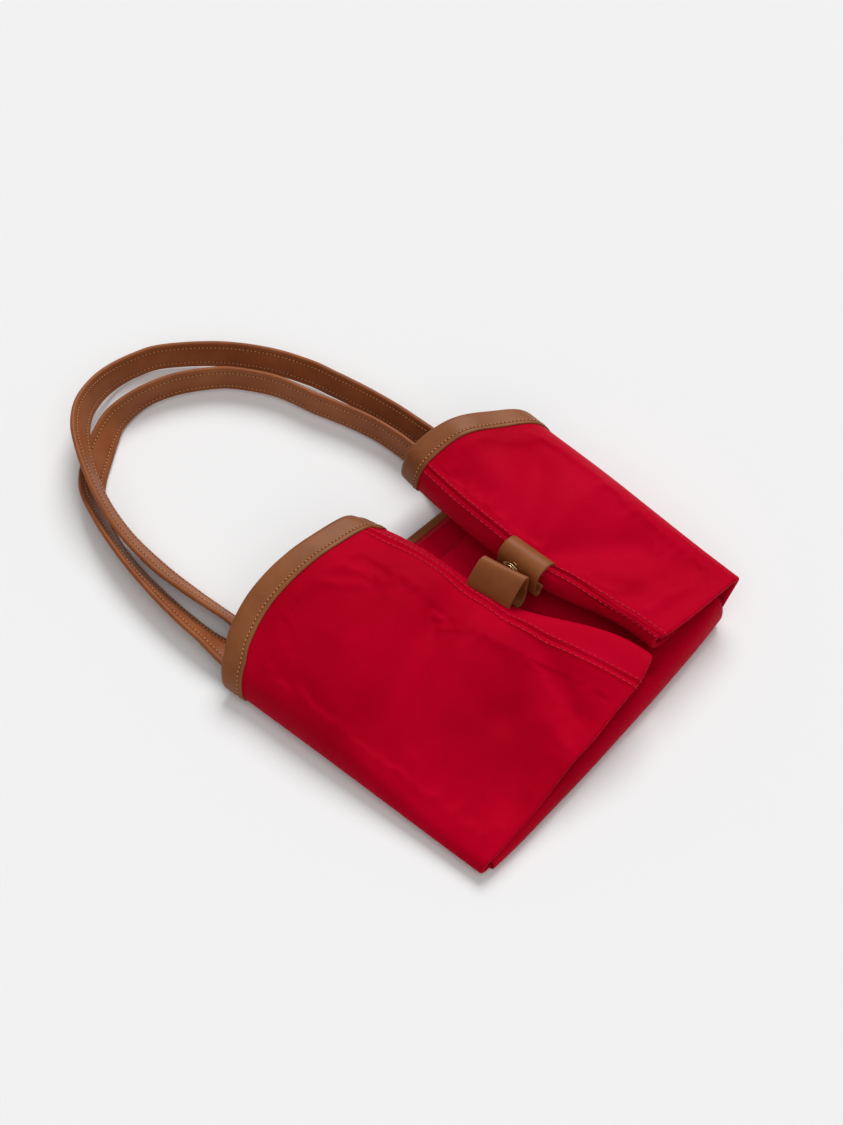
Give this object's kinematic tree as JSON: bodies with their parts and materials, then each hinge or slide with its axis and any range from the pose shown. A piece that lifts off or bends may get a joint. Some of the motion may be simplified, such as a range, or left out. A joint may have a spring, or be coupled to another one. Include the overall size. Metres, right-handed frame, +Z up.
{
  "type": "foldable tote bag",
  "caption": "Nylon tote folded into a flat parcel, leather-bound mouth, shoulder straps lying out in a loop, wings held shut by snapped leather tabs.",
  "frame": {"origin": "on the floor, on the mouth line, near the middle of the folded bag", "axes": "+X across the folded bag towards the far fold, +Y out of the mouth towards the handles, +Z up from the floor"},
  "size_m": [0.228, 0.3756, 0.0503],
  "materials": {
    "nylon": "coated woven nylon, soft sheen",
    "binding_leather": "smooth tanned leather with one stitch row",
    "strap_leather": "smooth folded leather with two stitch rows",
    "tab_leather": "smooth tanned leather",
    "seam_tape": "folded seam allowance, twin stitched",
    "brass": "polished pale brass"
  },
  "bodies": {
    "centre": {"centre_back_upper": "nylon", "centre_back_lower": "nylon", "centre_front_panel": "nylon", "centre_back_binding": "binding_leather", "centre_front_binding": "binding_leather", "centre_bottom_seam": "seam_tape", "back_handle_far_end": "strap_leather", "back_handle_near_end": "strap_leather", "front_handle_far_end": "strap_leather", "front_handle_near_end": "strap_leather"},
    "near_flap": {"near_flap_back_upper": "nylon", "near_flap_back_lower": "nylon", "near_flap_front_panel": "nylon", "near_flap_back_binding": "binding_leather", "near_flap_front_binding": "binding_leather", "near_flap_side_seam": "seam_tape", "near_flap_bottom_seam": "seam_tape"},
    "far_flap": {"far_flap_back_upper": "nylon", "far_flap_back_lower": "nylon", "far_flap_front_panel": "nylon", "far_flap_back_binding": "binding_leather", "far_flap_front_binding": "binding_leather", "far_flap_side_seam": "seam_tape", "far_flap_bottom_seam": "seam_tape"},
    "near_tab": {"near_tab_loop": "tab_leather", "snap_stud": "brass", "snap_stud_cap": "brass"},
    "far_tab": {"far_tab_loop": "tab_leather", "snap_socket": "brass", "snap_socket_cap": "brass"},
    "back_handle": {"back_handle_strap": "strap_leather"},
    "front_handle": {"front_handle_strap": "strap_leather"}
  },
  "joints": [
    {"name": "near_flap_fold", "type": "hinge", "parent": "centre", "child": "near_flap", "pos_m": [-0.105, -0.079, 0.008], "axis": [0.083, -0.9965, 0], "range_deg": [0, 150]},
    {"name": "far_flap_fold", "type": "hinge", "parent": "centre", "child": "far_flap", "pos_m": [0.11675, -0.078, 0.017], "axis": [0.0162, 0.9999, 0], "range_deg": [0, 150]},
    {"name": "near_tab_fold", "type": "hinge", "parent": "near_flap", "child": "near_tab", "pos_m": [0.0146, -0.069, 0.0334], "axis": [0.1878, -0.9822, 0], "range_deg": [0, 55]},
    {"name": "far_tab_fold", "type": "hinge", "parent": "far_flap", "child": "far_tab", "pos_m": [0.0349, -0.069, 0.0356], "axis": [-0.025, 0.9997, 0], "range_deg": [0, 34]},
    {"name": "back_handle_swing", "type": "hinge", "parent": "centre", "child": "back_handle", "pos_m": [0, 0.028, 0.018], "axis": [1, 0, 0], "range_deg": [0, 85]},
    {"name": "front_handle_swing", "type": "hinge", "parent": "centre", "child": "front_handle", "pos_m": [0, 0.028, 0.018], "axis": [1, 0, 0], "range_deg": [0, 85]}
  ],
  "couplings": [
    {"joint": "front_handle_swing", "follows": "back_handle_swing", "ratio": 1}
  ]
}
